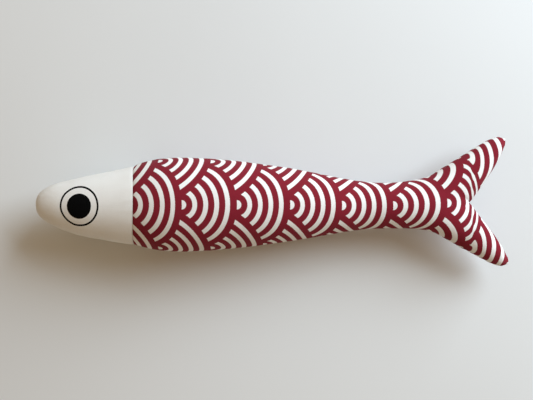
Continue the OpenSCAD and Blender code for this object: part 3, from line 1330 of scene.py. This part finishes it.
@dataclass
class Graph:
    """A material's node tree."""

    name: str
    material: bpy.types.Material = field(init=False)

    def __post_init__(self) -> None:
        """Starts an empty tree."""
        self.material = bpy.data.materials.new(self.name)
        self.material.use_nodes = True
        self.material.node_tree.nodes.clear()

    def node(self, kind: str, settings: dict[str, Any], inputs: dict[Any, Any],
             output: int | str = 0) -> Shade:
        """Adds any node.

        Args:
            kind: the node's type.
            settings: its properties, which are set first.
            inputs: values or links of its sockets, by name or number.
            output: the output that is returned.

        Returns:
            The node's output.
        """
        made = self.material.node_tree.nodes.new(kind)
        for key, value in settings.items():
            if key == "stops":
                self._set_stops(made, value)
            else:
                setattr(made, key, value)
        for key, value in inputs.items():
            if isinstance(value, Shade):
                self.material.node_tree.links.new(value.socket, made.inputs[key])
            else:
                made.inputs[key].default_value = value
        return Shade(self, made.outputs[output])

    @staticmethod
    def _set_stops(ramp: bpy.types.Node, stops: Iterable[tuple[float, tuple[float, float, float]]]) -> None:
        """Sets a colour ramp's stops.

        Args:
            ramp: the node.
            stops: each stop's place and colour.
        """
        for n, (place, colour) in enumerate(stops):
            stop = ramp.color_ramp.elements[n] if n < 2 else ramp.color_ramp.elements.new(place)
            stop.position = place
            stop.color = (*colour, 1)

    def cloth_place(self) -> tuple[Shade, Shade]:
        """Returns the place on the flat cloth, in millimetres along it and across it."""
        uv = self.node("ShaderNodeUVMap", {"uv_map": "cloth"}, {})
        x = self.node("ShaderNodeSeparateXYZ", {}, {0: uv}, "X")
        y = self.node("ShaderNodeSeparateXYZ", {}, {0: uv}, "Y")
        return x * 1000, y * 1000

    def object_place(self) -> Shade:
        """Returns the object coordinates."""
        return self.node("ShaderNodeTexCoord", {}, {}, "Object")

    def point(self, x: Shade, y: Shade) -> Shade:
        """Joins two numbers to a vector."""
        return self.node("ShaderNodeCombineXYZ", {}, {"X": x, "Y": y})

    def clouds(self, vector: Shade, scale: float, detail: float = 2, roughness: float = 0.5) -> Shade:
        """Returns a noise of about 0.3 to 0.7."""
        return self.node("ShaderNodeTexNoise", {}, {
            "Vector": vector, "Scale": scale, "Detail": detail, "Roughness": roughness})

    def mix(self, share: Shade, a: Any, b: Any) -> Shade:
        """Mixes two colours.

        Args:
            share: 0 for the first, 1 for the second.
            a: the first colour, or a link.
            b: the second.

        Returns:
            The mixed colour.
        """
        made = self.node("ShaderNodeMix", {"data_type": "RGBA"}, {0: share}, 2)
        node = made.socket.node
        for number, value in ((6, a), (7, b)):
            if isinstance(value, Shade):
                self.material.node_tree.links.new(value.socket, node.inputs[number])
            else:
                node.inputs[number].default_value = (*value, 1)
        return made

    def bump(self, height: Shade, distance: float, strength: float = 1.0) -> Shade:
        """Returns the normal of a surface with that height, in metres."""
        return self.node("ShaderNodeBump", {}, {"Height": height, "Distance": distance, "Strength": strength})

    def finish(self, sockets: dict[str, Any]) -> bpy.types.Material:
        """Ends the tree in a Principled shader.

        Args:
            sockets: values or links of the shader's sockets.

        Returns:
            The finished material.
        """
        shader = self.node("ShaderNodeBsdfPrincipled", {}, sockets)
        out = self.material.node_tree.nodes.new("ShaderNodeOutputMaterial")
        self.material.node_tree.links.new(shader.socket, out.inputs["Surface"])
        return self.material


@dataclass(frozen=True)
class Weave:
    """A plain weave of warp and weft threads, in millimetres."""

    pitch: float = 0.42
    depth: float = 0.11
    crossing: float = 0.25
    along_thread: float = 0.06
    over_threads: float = 2.2
    relief_parts: tuple[float, float] = (0.8, 0.5)
    tone_range: tuple[float, float] = (0.2, 0.85)

    def height(self, along: Shade, across: Shade) -> Shade:
        """Works out how high the cloth's threads stand.

        Args:
            along: the place along the cloth, in millimetres.
            across: the place across it.

        Returns:
            The height, from 0 to 1.
        """
        turn = math.pi / self.pitch
        warp = (along * turn).sine()
        weft = (across * turn).sine()
        over = (warp * weft).between(-self.crossing, self.crossing)
        return abs(warp) * over + abs(weft) * (1 - over)

    def slubs(self, graph: Graph, along: Shade, across: Shade) -> Shade:
        """Works out the uneven thickness of single threads.

        Args:
            graph: the tree.
            along: the place along the cloth, in millimetres.
            across: the place across it.

        Returns:
            The thickness, about 0 to 1.
        """
        long, fine = self.along_thread, self.over_threads
        lengthwise = graph.clouds(graph.point(along * long, across * fine), 1, 1)
        crosswise = graph.clouds(graph.point(along * fine, across * long), 1, 1)
        return (lengthwise + crosswise) * 0.5

    def cloth(self, graph: Graph, parts: tuple[float, float, float],
              mottle_scale: float) -> tuple[Shade, Shade]:
        """Works out the tone and the relief of woven cloth.

        Args:
            graph: the tree.
            parts: how much the threads' height, their slubs and the mottling change the tone.
            mottle_scale: the scale of the mottling, in waves per millimetre.

        Returns:
            The tone, from 0 to 1, and the normal.
        """
        along, across = graph.cloth_place()
        height, slubs = self.height(along, across), self.slubs(graph, along, across)
        mottle = graph.clouds(graph.point(along, across), mottle_scale, 3)
        # The threads' height paints shade into the hollows between threads; the slubs and the mottling are
        # the cloth's own uneven tone.
        tone = (height * parts[0] + slubs * parts[1] + mottle * parts[2]).between(*self.tone_range)
        relief = height * self.relief_parts[0] + slubs * self.relief_parts[1]
        return tone, graph.bump(relief, self.depth * MM)


@dataclass(frozen=True)
class PlainCotton:
    """Off-white plain-weave cotton."""

    name: str = "plain_cotton"
    colour: tuple[float, float, float] = (0.87, 0.865, 0.83)
    shadow: tuple[float, float, float] = (0.75, 0.74, 0.695)
    tone_parts: tuple[float, float, float] = (0.45, 0.5, 0.5)
    mottle_scale: float = 0.09
    weave: Weave = Weave()

    def make(self) -> bpy.types.Material:
        """Returns the material."""
        graph = Graph(self.name)
        tone, normal = self.weave.cloth(graph, self.tone_parts, self.mottle_scale)
        colour = graph.mix(tone, self.shadow, self.colour)
        return graph.finish({"Base Color": colour, "Roughness": 0.92, "Sheen Weight": 0.06,
                             "Sheen Roughness": 0.5, "Specular IOR Level": 0.15, "Normal": normal})


@dataclass(frozen=True)
class WaveScales:
    """The print: rows of overlapping scales, each of ten rings that are white and coloured in turn."""

    scale_radius: float = 38.3
    first_centre: float = 72.6
    rings: int = 10
    closeness: float = 1.01
    shift: float = 0.12

    def _in_row(self, u: Shade, v: Shade, row: Shade) -> tuple[Shade, Shade]:
        """Finds the scale of one row that covers a point, nearest to the nose.

        Args:
            u: the place along the cloth, in scales.
            v: the place across it.
            row: the row's place across the cloth.

        Returns:
            The scale's centre along the cloth, far away where the row has none here, and the
            point's distance from the row.
        """
        off_row = v - row
        half_chord = (1 - off_row * off_row).most(0).root()
        shift = (row * 0.5) - (row * 0.5).floor()
        centre = (u - half_chord - shift).ceil() + shift
        missed = centre > (u + half_chord)
        return centre + missed * 10, off_row

    def white(self, along: Shade, across: Shade, wobble: Shade) -> Shade:
        """Tells the white rings from the coloured ones.

        Args:
            along: the place along the cloth, in millimetres.
            across: the place across it.
            wobble: how far the ink has bled here, in scales.

        Returns:
            1 on the white rings and 0 on the coloured ones, with a soft edge.
        """
        u = (along - self.first_centre) / self.scale_radius + wobble
        v = across / self.scale_radius + wobble
        lower = v.floor()
        centre_a, off_a = self._in_row(u, v, lower)
        centre_b, off_b = self._in_row(u, v, lower + 1)
        second = centre_b < centre_a
        centre = centre_a + (centre_b - centre_a) * second
        off = off_a + (off_b - off_a) * second
        reach = ((u - centre) * (u - centre) + off * off).root()
        turn = (reach * (self.rings * self.closeness) + self.shift).least(self.rings - 0.5)
        return (turn * math.pi).sine().between(0.11, 0.33)


@dataclass(frozen=True)
class PrintedCotton:
    """White plain-weave cotton with a burgundy print of wave scales."""

    name: str = "printed_cotton"
    ground: tuple[float, float, float] = (0.885, 0.88, 0.855)
    ground_shadow: tuple[float, float, float] = (0.765, 0.75, 0.71)
    ink: tuple[float, float, float] = (0.226, 0.0125, 0.025)
    ink_shadow: tuple[float, float, float] = (0.165, 0.0085, 0.017)
    tone_parts: tuple[float, float, float] = (0.4, 0.55, 0.5)
    mottle_scale: float = 0.11
    bleed_scale: float = 1.3
    bleed: float = 0.010
    weave: Weave = Weave()
    print: WaveScales = WaveScales()

    def make(self) -> bpy.types.Material:
        """Returns the material."""
        graph = Graph(self.name)
        along, across = graph.cloth_place()
        wobble = (graph.clouds(graph.point(along, across), self.bleed_scale, 2) - 0.5) * self.bleed
        white = self.print.white(along, across, wobble)
        tone, normal = self.weave.cloth(graph, self.tone_parts, self.mottle_scale)
        ground = graph.mix(tone, self.ground_shadow, self.ground)
        ink = graph.mix(tone, self.ink_shadow, self.ink)
        colour = graph.mix(white, ink, ground)
        return graph.finish({"Base Color": colour, "Roughness": 0.9, "Sheen Weight": 0.03,
                             "Sheen Roughness": 0.5, "Specular IOR Level": 0.15, "Normal": normal})


@dataclass(frozen=True)
class FabricInk:
    """Black ink soaked into the cotton, with the threads showing through as relief and a painted highlight
    that makes the raised threads a little lighter.
    """

    name: str = "fabric_ink"
    colour: tuple[float, float, float] = (0.0015, 0.0015, 0.0015)
    # painted highlight: the lighter ink colour on the raised thread tops
    thread_highlight: tuple[float, float, float] = (0.008, 0.008, 0.008)
    weave: Weave = Weave()

    def make(self) -> bpy.types.Material:
        """Returns the material."""
        graph = Graph(self.name)
        along, across = graph.cloth_place()
        height = self.weave.height(along, across)
        slubs = self.weave.slubs(graph, along, across)
        # The raised and thick threads get the lighter colour, a painted highlight on the thread tops.
        colour = graph.mix((height * 0.6 + slubs * 0.5).between(0.35, 1.0), self.colour, self.thread_highlight)
        normal = graph.bump(height, self.weave.depth * MM)
        return graph.finish({"Base Color": colour, "Roughness": 0.9, "Specular IOR Level": 0.0,
                             "Normal": normal})


@dataclass(frozen=True)
class SewingThread:
    """Off-white spun thread."""

    name: str = "sewing_thread"
    colour: tuple[float, float, float] = (0.74, 0.72, 0.66)
    shadow: tuple[float, float, float] = (0.52, 0.50, 0.45)

    def make(self) -> bpy.types.Material:
        """Returns the material."""
        graph = Graph(self.name)
        strands = graph.clouds(graph.object_place(), 5200, 3)
        colour = graph.mix(strands.between(0.35, 0.65), self.shadow, self.colour)
        return graph.finish({"Base Color": colour, "Roughness": 0.7,
                             "Normal": graph.bump(strands, 0.06 * MM)})


@dataclass(frozen=True)
class Fibre:
    """Loose white polyester fibre."""

    name: str = "polyester_fibre"
    colour: tuple[float, float, float] = (0.86, 0.86, 0.85)
    shadow: tuple[float, float, float] = (0.66, 0.66, 0.65)

    def make(self) -> bpy.types.Material:
        """Returns the material."""
        graph = Graph(self.name)
        tufts = graph.clouds(graph.object_place(), 420, 6, 0.7)
        colour = graph.mix(tufts.between(0.3, 0.7), self.shadow, self.colour)
        return graph.finish({"Base Color": colour, "Roughness": 1.0,
                             "Normal": graph.bump(tufts, 0.8 * MM)})


@dataclass(frozen=True)
class TableTop:
    """A plain pale surface."""

    name: str = "table_top"
    colour: tuple[float, float, float] = (0.725, 0.74, 0.735)

    def make(self) -> bpy.types.Material:
        """Returns the material."""
        graph = Graph(self.name)
        mottle = graph.clouds(graph.object_place(), 3.0, 2)
        deeper = tuple(0.975 * c for c in self.colour)
        colour = graph.mix(mottle.between(0.35, 0.65), deeper, self.colour)
        return graph.finish({"Base Color": colour, "Roughness": 0.6, "Specular IOR Level": 0.3})


@dataclass
class Studio:
    """The table, the light and the camera."""

    eye_height: float = 0.59
    view_width: float = 0.3944
    centre: tuple[float, float] = (-0.005, 0.0035)

    def build(self) -> None:
        """Sets everything up round the fish."""
        self._camera()
        self._floor()
        self._light("window", (0.93, 0.74, 0.77), 1.05, 29.0, (0.865, 1.0, 1.13))
        world = bpy.data.worlds.new("room")
        bpy.context.scene.world = world
        world.use_nodes = True
        back = world.node_tree.nodes["Background"]
        back.inputs["Color"].default_value = (1.0, 0.73, 0.46, 1)
        back.inputs["Strength"].default_value = 0.355
        bpy.context.scene.view_settings.view_transform = "Standard"

    def _camera(self) -> None:
        """Hangs the camera over the fish, looking straight down."""
        data = bpy.data.cameras.new("camera")
        data.sensor_width = 36
        data.lens = data.sensor_width * self.eye_height / self.view_width
        camera = bpy.data.objects.new("camera", data)
        bpy.context.scene.collection.objects.link(camera)
        axis_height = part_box("head_panel_left")[0].z
        camera.location = (*self.centre, axis_height + self.eye_height)
        bpy.context.scene.camera = camera

    @staticmethod
    def _floor() -> None:
        """Lays the table top under the fish."""
        half = 3.0
        corners = np.array([(-half, -half, 0), (half, -half, 0), (half, half, 0), (-half, half, 0)])
        floor = mesh_object("table_top", corners, [[0, 1, 2, 3]])
        floor.data.materials.append(TableTop().make())

    @staticmethod
    def _light(name: str, place: tuple[float, float, float], size: float, power: float,
               colour: tuple[float, float, float]) -> None:
        """Adds a soft lamp that is aimed at the fish.

        Args:
            name: its name.
            place: where it hangs, in metres.
            size: the length of its sides.
            power: its power in watts.
            colour: its colour.
        """
        data = bpy.data.lights.new(name, "AREA")
        data.size = size
        data.energy = power
        data.color = colour
        lamp = bpy.data.objects.new(name, data)
        lamp.location = place
        lamp.rotation_euler = (-Vector(place)).to_track_quat("-Z", "Y").to_euler()
        bpy.context.scene.collection.objects.link(lamp)


@dataclass
class Fish:
    """The whole fish."""

    form: FishForm
    lay: Lay
    bend_reach: float = 26

    def build(self) -> None:
        """Makes every piece, and fastens the head panels, eye prints and the neck and closing stitches to the
        body.
        """
        cloth = StuffedCloth(self.form, self.lay)
        cloth.simulate()
        skin = SewnSkin(self.form, self.lay, cloth)
        skin.shape()
        plain, printed = PlainCotton().make(), PrintedCotton().make()
        ink, thread = FabricInk().make(), SewingThread().make()
        for face in Face:
            word = face.name.lower()
            head = ClothPanel(f"head_cloth_{word}", skin, face, 0, self.form.neck_at).build(plain)
            self._ride(head, "plain_cotton", f"head_panel_{word}")
            body = ClothPanel(f"body_cloth_{word}", skin, face, self.form.neck_at, self.form.length)
            body = body.build(printed)
            self._bend(body, "printed_cotton", f"body_panel_{word}", f"tail_panel_{word}")
            eye = EyePrint(skin, face)
            self._ride(eye.ring(f"eye_print_ring_{word}", ink), "fabric_ink", f"eye_ring_{word}")
            self._ride(eye.pupil(f"eye_print_pupil_{word}", ink), "fabric_ink", f"eye_pupil_{word}")
        self._sew(Seams(skin), thread)
        filling = FibreFilling(self.form, self.lay).build(Fibre().make())
        self._bend(filling, "polyester_fibre", "body_filling", "tail_filling")

    def _sew(self, seams: Seams, thread: bpy.types.Material) -> None:
        """Adds the stitches.

        Args:
            seams: where they run.
            thread: their finish.
        """
        for face in Face:
            word = face.name.lower()
            self._ride(seams.neck_seam(face, thread), "sewing_thread", f"neck_seam_thread_{word}")
        self._ride(seams.closing(thread), "sewing_thread", "closing_stitch")
        self._bend(seams.long_seam(thread), "sewing_thread",
                   "back_seam_thread", "belly_seam_thread", "tail_seam_thread")

    @staticmethod
    def _ride(piece: bpy.types.Object, slot: str, *nodes: str) -> None:
        """Fastens a piece to the body and lets it stand for CAD nodes.

        Args:
            piece: the piece.
            slot: not used.
            nodes: the CAD nodes.
        """
        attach(piece, BODY)
        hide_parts(*nodes)

    def _bend(self, piece: bpy.types.Object, slot: str, *nodes: str) -> None:
        """Bakes a piece's placement into its mesh and lets it stand for CAD nodes.

        Args:
            piece: the piece.
            slot: not used.
            nodes: the CAD nodes.
        """
        reach = self.lay.direction(self.bend_reach * MM, 0, 0)
        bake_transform(piece)
        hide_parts(*nodes)


def main() -> None:
    """Builds the studio and the fish round the frame."""
    logging.basicConfig(level=logging.INFO, format="%(message)s")
    Studio().build()
    hinge = Vector(frame["joints"][0]["pos_m"])
    Fish(FishForm(), Lay(hinge)).build()


if __name__ == "__main__":
    main()
